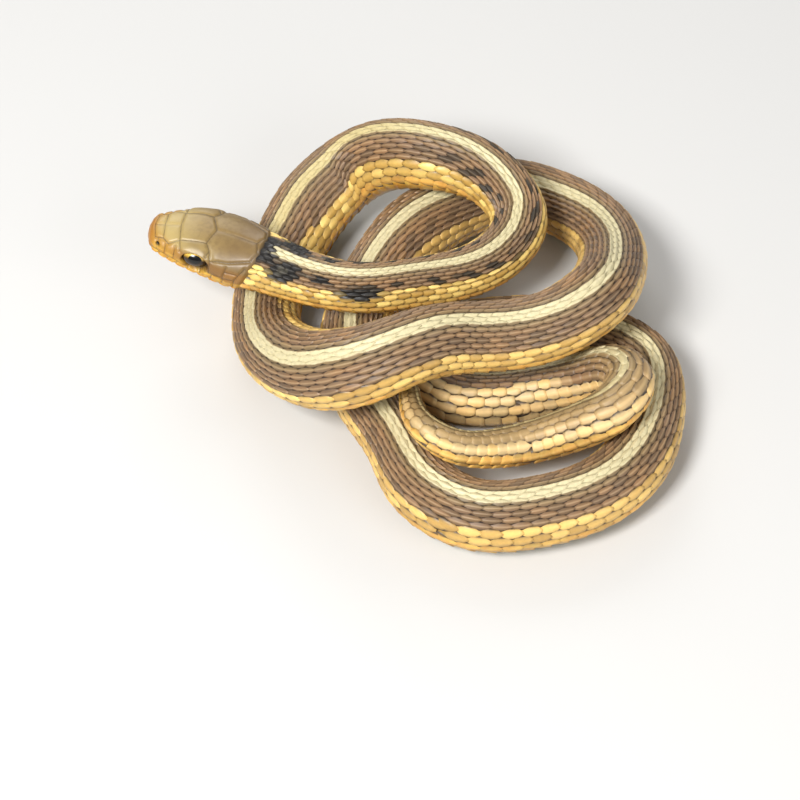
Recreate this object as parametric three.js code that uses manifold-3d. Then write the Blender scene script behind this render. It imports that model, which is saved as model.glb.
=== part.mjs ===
// A garter snake at life size, lying in three overlapping coils with its head raised over them.
// Millimetres, +Z up. The head points to -X, and the floor is the plane z = 0.
import * as THREE from 'three';
import { mergeVertices } from 'three/addons/utils/BufferGeometryUtils.js';
import Module from 'manifold-3d';

const wasm = await Module();
wasm.setup();

// Driving sizes
const HEAD_LENGTH = 25;
const TOUCH_GAP = 0.3;
const RING_STEP = 3.6;
const HEAD_STEP = 1.4;
const BODY_SIDES = 20;
const EYE_SIDES = 22;
const NOSTRIL_SIDES = 8;
const BELLY_DEPTH = 0.97;
const SHIELD_RISE = 0.22;
const SEAM_WIDTH = 0.26;
const LIP_DEPTH = 0.45;
const FLOOR = 0;

// The route of the centre line, from the snout to the tip of the tail, then the shift to the origin
const ROUTE = {
  head: [[-51, 24.2, 25], [-44, 23.3, 24], [-36.5, 22, 22.8], [-29, 19.4, 21.3]],
  neck: [[-18, 14.8, 20.6], [-7.5, 12.5, 20.5], [3, 15, 19], [13, 19, 17.5]],
  highCoil: [
    [21.5, 25.5, 17.5], [24.5, 34, 19], [17.5, 42, 22.5], [6.5, 46.4, 23],
    [-3, 50.5, 18.9], [-11, 51, 13], [-18.5, 44.3, 9.4], [-23.5, 34, 7.5],
  ],
  middleCoilLeft: [[-27, 22.5, 7], [-27, 11, 8.5], [-23.5, 1, 13.5], [-16.5, -7, 19]],
  middleCoilFront: [
    [-7, -10.5, 24.5], [2.5, -8, 26.8], [11.5, -3.7, 24.3], [21.5, -1.5, 22.6], [31, 0.7, 23.8],
  ],
  middleCoilRight: [[38.5, 6, 25], [42.5, 16.5, 19.5], [44, 27, 14], [42, 38, 9.5]],
  middleCoilBack: [[35, 47, 7], [23.5, 51, 7], [12.5, 47, 7.5]],
  lowCoilInner: [[3.5, 39, 8], [-3, 29, 7.5], [-8, 18, 7], [-9.5, 6, 7]],
  lowCoilFront: [
    [-6, -5, 7], [0, -16, 7], [4.5, -27, 7], [14.5, -34, 7], [26.5, -33.5, 7], [38.5, -29, 7],
  ],
  lowCoilRight: [[47, -20, 7], [50.5, -8, 7], [49.5, 3.5, 7], [41, 11, 6.5]],
  lowCoilUnder: [[29.5, 14.5, 6], [18, 14.5, 6], [8.3, 11, 6], [5, 4.8, 6], [9.8, -2.5, 5.5]],
  tailBase: [[18.5, -4.3, 5.5], [28, -3.7, 7], [36, -3.6, 11], [42.3, -5.3, 16.4]],
  tailTurn: [[45.2, -10.5, 19.2], [42, -16.3, 18.5], [36, -18, 15]],
  tailNear: [[27.5, -19, 11.5], [18, -22, 12.5], [10, -24, 16.5], [4, -20.5, 18.5]],
  tailTip: [[2, -13, 16.5], [1, -3, 14.5], [-1, 8, 12]],
};
const CENTRE_SHIFT = new THREE.Vector3(-3.22, -8.9, 0);

// Half the body's thickness against the distance from the snout
const GIRTH = [
  [25, 6.3], [32, 5.7], [41, 5.3], [54, 5.3], [68, 5.4], [83, 5.8], [98, 6.4], [111, 7.2],
  [126, 7.9], [143, 8.3], [159, 7.7], [174, 7.2], [194, 7.8], [210, 8.2], [222, 7.4], [256, 7.1],
  [282, 7.2], [317, 6.9], [337, 7.6], [351, 8.1], [376, 7.2], [455, 7.2], [494, 6.8], [524, 6.3],
  [563, 5.7], [603, 5.2], [627, 4.5], [644, 3.6], [657, 2.6], [670, 1.7], [681, 0.6],
];

// The roll of the back about the centre line, in degrees, towards the snake's left side
const ROLL = [
  [0, 0], [25, 3], [32, 9], [40, 6], [50, -3], [58, -1], [66, 4], [74, 11], [80, 8], [86, -6],
  [93, -16], [99, -6], [106, 9], [113, 8], [120, -1], [126, -4], [132, 5], [139, 15], [147, 11],
  [160, 20], [171, 27], [180, 28], [190, 35], [198, 43], [205, 37], [213, 14], [220, 2], [227, 9],
  [236, 12], [246, 6], [258, 11], [265, 11], [276, 5], [288, -5], [298, -9], [322, -15],
  [340, -10], [348, -4], [357, 14], [363, 17], [372, 8], [382, 2], [397, 9], [407, 17], [419, 3],
  [477, 1], [489, 12], [500, 4], [508, -4], [540, -14], [562, -28], [580, -26], [590, -6],
  [602, 22], [614, 36], [622, 40], [681, 40],
];

// The lengths of the body, each with the distance from the snout where it ends
const LENGTHS = [
  ['neck', 66], ['coil_high_right', 104], ['coil_high_back', 141], ['coil_high_left', 177],
  ['coil_middle_left', 207], ['coil_middle_front_left', 234], ['coil_middle_front_right', 263],
  ['coil_middle_right', 299], ['coil_middle_back', 337], ['coil_low_inner', 375],
  ['coil_low_left', 409], ['coil_low_front', 443], ['coil_low_corner', 471],
  ['coil_low_right', 507], ['coil_low_under', 545], ['tail_base', 589], ['tail_turn', 619],
  ['tail_near', 652], ['tail_tip', 681],
];

// Head sections: distance from the snout, half width, height and depth from the axis,
// roundness of the crown and of the jaws
const HEAD_SECTIONS = [
  [0, 1.2, 1, 1, 1, 1], [0.5, 3, 1.8, 1.6, 0.95, 0.95], [1.5, 4.1, 2.4, 2.2, 0.88, 0.88],
  [4, 5.2, 3, 3, 0.84, 0.82], [7, 6.2, 3.7, 3.6, 0.82, 0.8], [9.5, 6.8, 4.1, 4.05, 0.84, 0.8],
  [12.5, 7.3, 4.4, 4.5, 0.88, 0.8], [15.5, 7.6, 4.7, 4.9, 0.94, 0.82], [18.5, 7.6, 5, 5.3, 1, 0.85],
  [21.5, 7.1, 5.4, 5.7, 1, 0.93], [25, 6.4, 6.1, 6.2, 1, 1],
];

// Height of the mouth line from the axis against the distance from the snout
const MOUTH_LINE = [
  [0, -0.3], [2, -0.7], [4, -1.1], [8, -1.6], [12, -1.8], [16, -2], [19.5, -2.4], [22, -2.1],
];
const MOUTH_END = 21;

function mix(table, distance, column = 1) {
  let row = 1;
  while (row < table.length - 1 && table[row][0] < distance) {
    row += 1;
  }
  const before = table[row - 1];
  const after = table[row];
  const share = THREE.MathUtils.clamp((distance - before[0]) / (after[0] - before[0]), 0, 1);
  return THREE.MathUtils.lerp(before[column], after[column], share);
}

// Natural cubic spline through the points, with knots spaced by the root of the chord
function naturalSpline(points) {
  const knots = [0];
  for (let i = 1; i < points.length; i += 1) {
    knots.push(knots[i - 1] + Math.sqrt(points[i].distanceTo(points[i - 1])));
  }
  const bends = ['x', 'y', 'z'].map((axis) => secondDerivatives(knots, points.map((p) => p[axis])));
  return (knot) => {
    let i = 0;
    while (i < knots.length - 2 && knots[i + 1] < knot) {
      i += 1;
    }
    const span = knots[i + 1] - knots[i];
    const a = (knots[i + 1] - knot) / span;
    const b = (knot - knots[i]) / span;
    const values = ['x', 'y', 'z'].map((axis, k) => a * points[i][axis] + b * points[i + 1][axis]
      + ((a ** 3 - a) * bends[k][i] + (b ** 3 - b) * bends[k][i + 1]) * span * span / 6);
    return new THREE.Vector3(...values);
  };
}

function secondDerivatives(knots, values) {
  const last = knots.length - 1;
  const upper = new Array(last + 1).fill(0);
  const right = new Array(last + 1).fill(0);
  for (let i = 1; i < last; i += 1) {
    const before = knots[i] - knots[i - 1];
    const after = knots[i + 1] - knots[i];
    const slopes = (values[i + 1] - values[i]) / after - (values[i] - values[i - 1]) / before;
    const pivot = 2 * (before + after) - before * upper[i - 1];
    upper[i] = after / pivot;
    right[i] = (6 * slopes - before * right[i - 1]) / pivot;
  }
  const bends = new Array(last + 1).fill(0);
  for (let i = last - 1; i > 0; i -= 1) {
    bends[i] = right[i] - upper[i] * bends[i + 1];
  }
  return bends;
}

// Centre line by true distance from the snout
function centreLine() {
  const points = Object.values(ROUTE).flat().map((p) => new THREE.Vector3(...p).add(CENTRE_SHIFT));
  const spline = naturalSpline(points);
  let lastKnot = 0;
  for (let i = 1; i < points.length; i += 1) {
    lastKnot += Math.sqrt(points[i].distanceTo(points[i - 1]));
  }
  const samples = 6000;
  const places = [spline(0)];
  const distances = [0];
  for (let i = 1; i <= samples; i += 1) {
    places.push(spline(lastKnot * i / samples));
    distances.push(distances[i - 1] + places[i].distanceTo(places[i - 1]));
  }
  const total = distances[samples];
  function at(distance) {
    let low = 0;
    let high = samples;
    while (high - low > 1) {
      const middle = (low + high) >> 1;
      if (distances[middle] > distance) {
        high = middle;
      } else {
        low = middle;
      }
    }
    const share = (distance - distances[low]) / (distances[high] - distances[low]);
    return places[low].clone().lerp(places[high], share);
  }
  return { at, total };
}

const line = centreLine();
const UP = new THREE.Vector3(0, 0, 1);

// Axes at a distance: along the body to the tail, out of the back, and out of the left side
function axesAt(distance) {
  const reach = 0.2;
  const middle = THREE.MathUtils.clamp(distance, reach, line.total - reach);
  const along = line.at(middle + reach).sub(line.at(middle - reach)).normalize();
  const level = UP.clone().addScaledVector(along, -along.z).normalize();
  const back = level.applyAxisAngle(along, THREE.MathUtils.degToRad(mix(ROLL, distance)));
  const side = new THREE.Vector3().crossVectors(along, back);
  return { middle: line.at(distance), along, back, side };
}

function placeOn(frame, side, back) {
  const place = frame.middle.clone().addScaledVector(frame.side, side).addScaledVector(frame.back, back);
  place.z = Math.max(place.z, FLOOR);
  return place;
}

// Closed geometry from rings of points, each end closed by a fan round its middle
function loft(rings) {
  const sides = rings[0].length;
  const places = rings.flat();
  const faces = [];
  for (let i = 0; i < rings.length - 1; i += 1) {
    for (let j = 0; j < sides; j += 1) {
      const a = i * sides + j;
      const b = i * sides + (j + 1) % sides;
      faces.push(a, b, a + sides, b, b + sides, a + sides);
    }
  }
  const lastRing = (rings.length - 1) * sides;
  [rings[0], rings[rings.length - 1]].forEach((ring) => {
    const hub = new THREE.Vector3();
    ring.forEach((p) => hub.add(p));
    places.push(hub.divideScalar(sides));
  });
  const firstHub = places.length - 2;
  for (let j = 0; j < sides; j += 1) {
    const next = (j + 1) % sides;
    faces.push(firstHub, next, j, firstHub + 1, lastRing + j, lastRing + next);
  }
  const geometry = new THREE.BufferGeometry().setFromPoints(places);
  geometry.setIndex(faces);
  return geometry;
}

function solidOf(geometry) {
  const bare = geometry.clone();
  bare.deleteAttribute('normal');
  bare.deleteAttribute('uv');
  const merged = mergeVertices(bare, 1e-5);
  return new wasm.Manifold(new wasm.Mesh({
    numProp: 3,
    vertProperties: new Float32Array(merged.attributes.position.array),
    triVerts: new Uint32Array(merged.index.array),
  }));
}

function geometryOf(solid) {
  const pieces = solid.decompose().sort((a, b) => b.volume() - a.volume());
  const mesh = pieces[0].getMesh();
  const geometry = new THREE.BufferGeometry();
  geometry.setAttribute('position', new THREE.BufferAttribute(mesh.vertProperties, 3));
  geometry.setIndex(new THREE.BufferAttribute(mesh.triVerts, 1));
  return geometry;
}

function node(name, geometry, color, roughness) {
  geometry.computeVertexNormals();
  const material = new THREE.MeshStandardMaterial({ color, roughness, metalness: 0 });
  const mesh = new THREE.Mesh(geometry, material);
  mesh.name = name;
  return mesh;
}

// Body lengths: round rings, a little flatter below
function bodyRing(distance) {
  const frame = axesAt(distance);
  const girth = mix(GIRTH, distance);
  const ring = [];
  for (let j = 0; j < BODY_SIDES; j += 1) {
    const angle = 2 * Math.PI * (j + 0.5) / BODY_SIDES;
    const height = Math.cos(angle) * girth;
    ring.push(placeOn(frame, Math.sin(angle) * girth, height > 0 ? height : height * BELLY_DEPTH));
  }
  return ring;
}

function bodyLength(start, end) {
  const steps = Math.ceil((end - start) / RING_STEP);
  const rings = [];
  for (let i = 0; i <= steps; i += 1) {
    rings.push(bodyRing(start + (end - start) * i / steps));
  }
  return loft(rings);
}

// Point of the head's surface at an angle from the crown towards the left side
function headPoint(distance, angle, swell) {
  const [halfWidth, height, depth, crown, jaw] = [1, 2, 3, 4, 5].map((k) => mix(HEAD_SECTIONS, distance, k));
  const across = Math.sin(angle);
  const upward = Math.cos(angle);
  const roundness = upward > 0 ? crown : jaw;
  const side = Math.sign(across) * Math.abs(across) ** roundness * (halfWidth + swell);
  const reach = (upward > 0 ? height : depth) + swell;
  return [side, Math.sign(upward) * Math.abs(upward) ** roundness * reach];
}

// Angle at which the mouth line runs on the head's left side
function mouthAngle(distance) {
  const depth = mix(HEAD_SECTIONS, distance, 3);
  const roundness = mix(HEAD_SECTIONS, distance, 5);
  return Math.PI / 2 + Math.asin(Math.min(0.8, (-mix(MOUTH_LINE, distance) / depth) ** (1 / roundness)));
}

function headRing(distance, swell) {
  const frame = axesAt(distance);
  const mouth = mouthAngle(distance);
  const lip = 0.28 / mix(HEAD_SECTIONS, distance, 1);
  const depth = swell > 0 ? 0 : LIP_DEPTH * THREE.MathUtils.smoothstep(MOUTH_END - distance, 0, 3);
  const crownSteps = 9;
  const chinSteps = 4;
  const half = [];
  for (let i = 0; i < crownSteps; i += 1) {
    half.push([(mouth - lip) * (i + 0.5) / (crownSteps - 0.5), 0]);
  }
  half.push([mouth, depth]);
  for (let i = 0; i < chinSteps; i += 1) {
    const share = (i + 0.5) / chinSteps;
    half.push([i === 0 ? mouth + lip : THREE.MathUtils.lerp(mouth + lip, Math.PI, share), 0]);
  }
  const left = half.map(([angle, inset]) => headPoint(distance, angle, swell - inset));
  const right = left.slice().reverse().map(([side, back]) => [-side, back]);
  return [...left, ...right].map(([side, back]) => placeOn(frame, side, back));
}

function headLoft(swell) {
  const stops = [0, 0.2, 0.5, 1, 1.6, 2.4];
  while (stops[stops.length - 1] < HEAD_LENGTH - 1.2 * HEAD_STEP) {
    stops.push(stops[stops.length - 1] + HEAD_STEP);
  }
  stops.push(HEAD_LENGTH);
  return loft(stops.map((distance) => headRing(distance, swell)));
}

// Head shields as outlines: [distance from the snout, offset], seen from above and from the side
const TOP_SHIELDS = {
  internasal: [[1.1, 0], [3.2, 0], [3.4, 3.2], [1.7, 2.9]],
  prefrontal: [[3.2, 0], [6.4, 0], [6.8, 3.6], [4.6, 4.3], [3.4, 3.2]],
  supraocular: [[6.8, 3.6], [12.3, 3.5], [13.3, 4.8], [12.8, 6.1], [7.2, 5.5]],
  parietal: [[13.6, 0], [12.3, 3.5], [13.3, 4.8], [14, 6.4], [18.2, 5.8], [23, 4], [23.6, 2], [22.4, 0]],
};
const FRONTAL = [[6.4, 0], [6.8, 3.6], [12.3, 3.5], [13.6, 0], [12.3, -3.5], [6.8, -3.6]];
const SIDE_SHIELDS = {
  nasalFront: [[1.2, 0.2], [2.3, 0.1], [2.3, 2], [1.5, 1.5]],
  nasalRear: [[2.3, 0.1], [4, 0], [4.1, 2.1], [2.3, 2]],
  loreal: [[4, 0], [6, -0.1], [6.1, 2.5], [4.1, 2.1]],
  preocular: [[6, -0.1], [7.4, -0.3], [7.4, 3], [6.1, 2.5]],
  postocularUpper: [[13.2, 1.2], [14.2, 1.2], [14.2, 2.1], [13, 2.7]],
  postocularLower: [[12.9, -0.3], [14.4, 0.1], [14.2, 1.2], [13.2, 1.2]],
  temporalFront: [[14.4, 0.1], [18, 0.4], [18.2, 2.6], [14.2, 2.1]],
  temporalUpper: [[18.2, 1.8], [21.4, 2], [22.4, 3.5], [18.3, 3.1]],
  temporalLower: [[18, 0.4], [21.1, 0.4], [21.4, 2], [18.2, 1.8]],
};
const UPPER_LIP_JOINTS = [1.2, 3, 4.9, 6.9, 9.4, 12.2, 15.2, 18.2, 20.8];
const LOWER_LIP_JOINTS = [1, 2.6, 4.4, 6.4, 8.8, 11.4, 14.2, 17.2, 20];
const LIP_TOP = [[1, 0.2], [6.9, -0.2], [8.4, -0.7], [11.4, -0.8], [13.5, -0.1], [20.8, 0.4]];
const LOWER_LIP_DEPTH = 1.5;
const LIP_CLEARANCE = 0.3;

// Outline drawn in by half a seam all round, for convex shields
function drawnIn(outline, margin) {
  const middle = outline.reduce((sum, p) => [sum[0] + p[0], sum[1] + p[1]], [0, 0]);
  const [u0, v0] = middle.map((value) => value / outline.length);
  return outline.map(([u, v]) => {
    const length = Math.hypot(u - u0, v - v0);
    const share = 1 - margin * 1.4 / length;
    return [u0 + (u - u0) * share, v0 + (v - v0) * share];
  });
}

// Prism over an outline, standing on the head's axis and reaching out past its skin
function shieldPrism(outline, fromAbove, sign) {
  const drawn = drawnIn(outline, SEAM_WIDTH / 2);
  const levels = fromAbove ? [0.6, 8] : [0.8, 10];
  const rings = levels.map((level) => drawn.map(([distance, offset]) => {
    const frame = axesAt(distance);
    const [side, back] = fromAbove ? [sign * offset, level] : [sign * level, offset];
    return placeOn(frame, side, back);
  }));
  const solid = solidOf(loft(rings));
  return solid.volume() > 0 ? solid : solidOf(loft(rings.map((ring) => ring.slice().reverse())));
}

function lipShields() {
  const outlines = [];
  for (let i = 0; i < UPPER_LIP_JOINTS.length - 1; i += 1) {
    const [start, end] = [UPPER_LIP_JOINTS[i], UPPER_LIP_JOINTS[i + 1]];
    outlines.push([
      [start, mix(MOUTH_LINE, start) + LIP_CLEARANCE], [end, mix(MOUTH_LINE, end) + LIP_CLEARANCE],
      [end, mix(LIP_TOP, end)], [start, mix(LIP_TOP, start)],
    ]);
  }
  for (let i = 0; i < LOWER_LIP_JOINTS.length - 1; i += 1) {
    const [start, end] = [LOWER_LIP_JOINTS[i], LOWER_LIP_JOINTS[i + 1]];
    outlines.push([
      [start, mix(MOUTH_LINE, start) - LOWER_LIP_DEPTH], [end, mix(MOUTH_LINE, end) - LOWER_LIP_DEPTH],
      [end, mix(MOUTH_LINE, end) - LIP_CLEARANCE], [start, mix(MOUTH_LINE, start) - LIP_CLEARANCE],
    ]);
  }
  return outlines;
}

function headShields() {
  const prisms = [shieldPrism(FRONTAL, true, 1)];
  [1, -1].forEach((sign) => {
    Object.values(TOP_SHIELDS).forEach((outline) => prisms.push(shieldPrism(outline, true, sign)));
    const sideOutlines = [...Object.values(SIDE_SHIELDS), ...lipShields()];
    sideOutlines.forEach((outline) => prisms.push(shieldPrism(outline, false, sign)));
  });
  const swollen = solidOf(headLoft(SHIELD_RISE));
  return prisms.map((prism) => prism.intersect(swollen));
}

// Eyes and nostrils: place from the snout, out to the side and up from the axis, and half sizes
const EYE = { distance: 10.7, side: 5.1, back: 0.95, long: 2.9, deep: 1.95, high: 2 };
const NOSTRIL = { distance: 2.5, side: 4.1, back: 1.3, long: 0.55, deep: 0.8, high: 0.4 };

function ovalBall(shape, gap, sign, segments) {
  const frame = axesAt(shape.distance);
  const centre = placeOn(frame, sign * shape.side, shape.back);
  const axes = new THREE.Matrix4().makeBasis(
    frame.back.multiplyScalar(shape.high + gap),
    frame.side.multiplyScalar(shape.deep + gap),
    frame.along.multiplyScalar(shape.long + gap),
  );
  const geometry = new THREE.SphereGeometry(1, segments, Math.round(segments * 0.6));
  return geometry.applyMatrix4(axes.setPosition(centre));
}

function head() {
  let solid = solidOf(headLoft(0));
  headShields().forEach((shield) => {
    solid = solid.add(shield);
  });
  [1, -1].forEach((sign) => {
    solid = solid.subtract(solidOf(ovalBall(EYE, TOUCH_GAP, sign, EYE_SIDES)));
    solid = solid.subtract(solidOf(ovalBall(NOSTRIL, 0, sign, NOSTRIL_SIDES)));
  });
  return geometryOf(solid);
}

const SKIN = 0x6f5b49;
const TAIL = 0x84704f;
const group = new THREE.Group();
group.add(node('head', head(), 0x8d8262, 0.4));
group.add(node('eye_left', ovalBall(EYE, 0, 1, EYE_SIDES), 0x1c1610, 0.1));
group.add(node('eye_right', ovalBall(EYE, 0, -1, EYE_SIDES), 0x1c1610, 0.1));
let start = HEAD_LENGTH + TOUCH_GAP;
LENGTHS.forEach(([name, end]) => {
  const stop = Math.min(end, line.total);
  group.add(node(name, bodyLength(start, stop), name.startsWith('tail') ? TAIL : SKIN, 0.55));
  start = stop + TOUCH_GAP;
});

export default group;
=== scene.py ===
"""A garter snake at life size, lying in overlapping coils with its head raised over them.

The body's route, girth and head sections are in millimetres. Meshes are in metres, with +Z up.
"""
import math

import bpy
import numpy as np
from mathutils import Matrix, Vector
from mathutils.kdtree import KDTree


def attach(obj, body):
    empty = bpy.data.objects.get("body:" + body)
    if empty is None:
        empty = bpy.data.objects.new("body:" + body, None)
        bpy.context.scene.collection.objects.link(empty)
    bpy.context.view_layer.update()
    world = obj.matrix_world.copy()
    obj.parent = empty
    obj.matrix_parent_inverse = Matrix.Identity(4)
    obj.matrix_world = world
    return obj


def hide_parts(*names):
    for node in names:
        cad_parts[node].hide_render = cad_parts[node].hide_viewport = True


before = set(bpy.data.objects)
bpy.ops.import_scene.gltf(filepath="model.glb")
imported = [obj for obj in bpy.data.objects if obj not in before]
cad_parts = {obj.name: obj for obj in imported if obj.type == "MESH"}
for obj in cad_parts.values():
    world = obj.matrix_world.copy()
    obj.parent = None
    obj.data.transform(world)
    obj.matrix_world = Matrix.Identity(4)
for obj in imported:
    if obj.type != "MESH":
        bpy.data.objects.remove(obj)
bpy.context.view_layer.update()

MM = 0.001
FULL_TURN = 2 * math.pi

# Centre line from the snout to the tip of the tail
ROUTE = [
    (-51, 24.2, 25), (-44, 23.3, 24), (-36.5, 22, 22.8), (-29, 19.4, 21.3),
    (-18, 14.8, 20.6), (-7.5, 12.5, 20.5), (3, 15, 19), (13, 19, 17.5),
    (21.5, 25.5, 17.5), (24.5, 34, 19), (17.5, 42, 22.5), (6.5, 46.4, 23),
    (-3, 50.5, 18.9), (-11, 51, 13), (-18.5, 44.3, 9.4), (-23.5, 34, 7.5),
    (-27, 22.5, 7), (-27, 11, 8.5), (-23.5, 1, 13.5), (-16.5, -7, 19),
    (-7, -10.5, 24.5), (2.5, -8, 26.8), (11.5, -3.7, 24.3), (21.5, -1.5, 22.6), (31, 0.7, 23.8),
    (38.5, 6, 25), (42.5, 16.5, 19.5), (44, 27, 14), (42, 38, 9.5),
    (35, 47, 7), (23.5, 51, 7), (12.5, 47, 7.5),
    (3.5, 39, 8), (-3, 29, 7.5), (-8, 18, 7), (-9.5, 6, 7),
    (-6, -5, 7), (0, -16, 7), (4.5, -27, 7), (14.5, -34, 7), (26.5, -33.5, 7), (38.5, -29, 7),
    (47, -20, 7), (50.5, -8, 7), (49.5, 3.5, 7), (41, 11, 6.5),
    (29.5, 14.5, 6), (18, 14.5, 6), (8.3, 11, 6), (5, 4.8, 6), (9.8, -2.5, 5.5),
    (18.5, -4.3, 5.5), (28, -3.7, 7), (36, -3.6, 11), (42.3, -5.3, 16.4),
    (45.2, -10.5, 19.2), (42, -16.3, 18.5), (36, -18, 15),
    (27.5, -19, 11.5), (18, -22, 12.5), (10, -24, 16.5), (4, -20.5, 18.5),
    (2, -13, 16.5), (1, -3, 14.5), (-1, 8, 12),
]
CENTRE_SHIFT = (-3.22, -8.9, 0)
ROUTE_SAMPLES = 6001

# Half the body's thickness against the distance from the snout
GIRTH = [
    (25, 6.3), (32, 5.7), (41, 5.3), (54, 5.3), (68, 5.4), (83, 5.8), (98, 6.4), (111, 7.2),
    (126, 7.9), (143, 8.3), (159, 7.7), (174, 7.2), (194, 7.8), (210, 8.2), (222, 7.4), (256, 7.1),
    (282, 7.2), (317, 6.9), (337, 7.6), (351, 8.1), (376, 7.2), (455, 7.2), (494, 6.8), (524, 6.3),
    (563, 5.7), (603, 5.2), (627, 4.5), (644, 3.6), (657, 2.6), (670, 1.7), (681, 0.6),
]
BELLY_DEPTH = 0.97

# Roll of the back in degrees towards the snake's left, and the offsets that it is averaged over
ROLL = [
    (0, 0), (25, 3), (32, 9), (40, 6), (50, -3), (58, -1), (66, 4), (74, 11), (80, 8), (86, -6),
    (93, -16), (99, -6), (106, 9), (113, 8), (120, -1), (126, -4), (132, 4), (139, 11), (147, 15),
    (160, 20), (171, 27), (180, 28), (190, 35), (198, 43), (205, 37), (213, 14), (220, 2),
    (227, 9), (236, 12), (246, 6), (258, 11), (265, 11), (276, 5), (288, -5), (298, -9),
    (322, -15), (340, -10), (348, -4), (357, 14), (363, 17), (372, 8), (382, 2), (397, 9),
    (407, 17), (419, 3), (477, 1), (489, 12), (500, 4), (508, -4), (538, -14), (560, -48),
    (582, -46), (592, -12), (602, 22), (614, 36), (622, 40), (681, 40),
]
ROLL_EASING = (-8, -4, 0, 4, 8)

# Head sections: distance, half width, height and depth from the axis, roundness of crown and jaws
HEAD_SECTIONS = [
    (0, 1.2, 1, 1, 1, 1), (0.5, 3, 1.8, 1.6, 0.95, 0.95), (1.5, 4.1, 2.4, 2.2, 0.88, 0.88),
    (4, 5.2, 3, 3, 0.84, 0.82), (7, 6.2, 3.7, 3.6, 0.82, 0.8), (9.5, 6.8, 4.1, 4.05, 0.84, 0.8),
    (12.5, 7.3, 4.4, 4.5, 0.88, 0.8), (15.5, 7.6, 4.7, 4.9, 0.94, 0.82), (18.5, 7.6, 5, 5.3, 1, 0.85),
    (21.5, 7.1, 5.4, 5.7, 1, 0.93), (25, 6.3, 6.2, 6.2, 1, 1),
]
HALF_WIDTH, HEIGHT, DEPTH, CROWN_ROUND, JAW_ROUND = 1, 2, 3, 4, 5
HEAD_LENGTH = 25

# Mouth line: distance from the snout and height from the head's axis
MOUTH_LINE = [
    (0, -0.3), (2, -0.7), (4, -1.1), (8, -1.6), (12, -1.8), (16, -2), (19.5, -2.4), (22, -2.1),
]
MOUTH_START, MOUTH_END, MOUTH_STEP = 0.3, 21, 0.5

# Eye and nostril: place in the head's section, and half sizes along, into and up the head
EYE = {"distance": 10.7, "side": 5.1, "back": 0.95, "long": 2.9, "deep": 1.95, "high": 2.0}
NOSTRIL = {"distance": 2.5, "side": 4.1, "back": 1.3, "long": 0.55, "deep": 0.8, "high": 0.4}
EYE_RINGS, EYE_SIDES = 28, 48
EYE_TILT = math.radians(30)

# Seams between the shields: lists of (distance, offset) seen from above, from the side and below
TOP_SEAMS = [
    [(1.1, 0), (1.5, 2), (1.7, 2.9)], [(1.1, 0), (6.4, 0)], [(13.6, 0), (22.4, 0)],
    [(3.2, 0), (3.4, 3.2)], [(1.7, 2.9), (3.4, 3.2), (4.6, 4.3), (6.8, 3.6)],
    [(6.4, 0), (6.8, 3.6), (12.3, 3.5), (13.6, 0)], [(6.8, 3.6), (7.2, 5.5)],
    [(12.3, 3.5), (13.3, 4.8), (12.9, 6)],
    [(13.3, 4.8), (14, 6.5), (18.2, 5.8), (23, 4), (23.6, 2), (22.4, 0)],
]
SIDE_SEAMS = [
    [(2.3, 0.1), (2.4, 2)], [(4, 0), (4.1, 2.1)], [(6, -0.1), (6.1, 2.5)],
    [(13.2, 1.2), (14.2, 1.2)], [(14.4, 0.1), (14.2, 1.2), (14.1, 2.2)],
    [(18, 0.4), (18.2, 2.6)], [(18.2, 1.8), (21.4, 2)], [(20.8, 0.4), (21.4, 2), (22.4, 3.5)],
]
CHIN_SEAMS = [
    [(1.6, 0), (15, 0)], [(4.4, 0), (4.6, 3), (9.2, 3.4), (9.6, 0)],
    [(9.2, 3.4), (14.4, 3), (15, 0)],
]
LIP_TOP = [(1, 0.2), (6.9, -0.2), (8.4, -0.7), (11.4, -0.8), (13.5, -0.1), (20.8, 0.4)]
UPPER_LIP_JOINTS = (1.2, 3, 4.9, 6.9, 9.4, 12.2, 15.2, 18.2, 20.8)
LOWER_LIP_JOINTS = (1, 2.6, 4.4, 6.4, 8.8, 11.4, 14.2, 17.2, 20)
LOWER_LIP_DEPTH = 1.5
SEAM_STEP = 0.08

# Skin: sides of a ring, and the rings' distances from the snout and from the tip of the tail
SKIN_SIDES = 200
SNOUT_RINGS = (0, 0.05, 0.15, 0.3)
HEAD_RINGS_FROM, HEAD_RING_STEP = 0.45, 0.18
BODY_RINGS_FROM, BODY_RING_STEP, BODY_RINGS_END = HEAD_LENGTH + 0.5, 3.0, 1
TIP_RINGS = (0.5, 0.15)

# Shields stand out between their seams, and the mouth line is a groove. Both set in behind the snout
SHIELD_RISE, SEAM_WIDTH = 0.22, 0.3
GROOVE_DEPTH, GROOVE_WIDTH = 0.3, 0.28
SNOUT_EASING = 1.2
SEAMS_REACH = HEAD_LENGTH + 1

# Brows: rise, soft edge in half sizes of the eye, and heights between which they set in
BROW_RISE, BROW_EDGE, BROW_HEIGHTS = 0.35, (1.15, 1.7), (1.9, 2.8)

# Eye openings and nostrils: depth, soft edge in half sizes, and strength of the painted shade in the
# eye opening
EYE_HOLE, EYE_HOLE_EDGE, EYE_HOLE_SHADE = 1.5, (0.9, 1.04), 0.9
NOSTRIL_HOLE, NOSTRIL_EDGE = 0.5, (0.6, 1.15)
MIDDLE_OF_HEAD = 1

# The skin sinks no deeper than a share of the girth, and skin and scales stay just above the floor
DEEPEST_SINK = 0.6
SKIN_ABOVE_FLOOR, SCALES_ABOVE_FLOOR = 0.05, 0.02

# Further than any seam, groove or oval reaches
FAR = 5.0

# Scale rows: width from the belly edge inwards, in units of a back scale, and rows each side
ROW_WIDTHS = (1.9, 1.8, 1.6, 1.1)
ROW_COUNTS = [(0, 9), (427, 8), (523, 7), (569, 6), (595, 5), (625, 4), (645, 3), (661, 2)]
YELLOW_ROWS = 2

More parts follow.
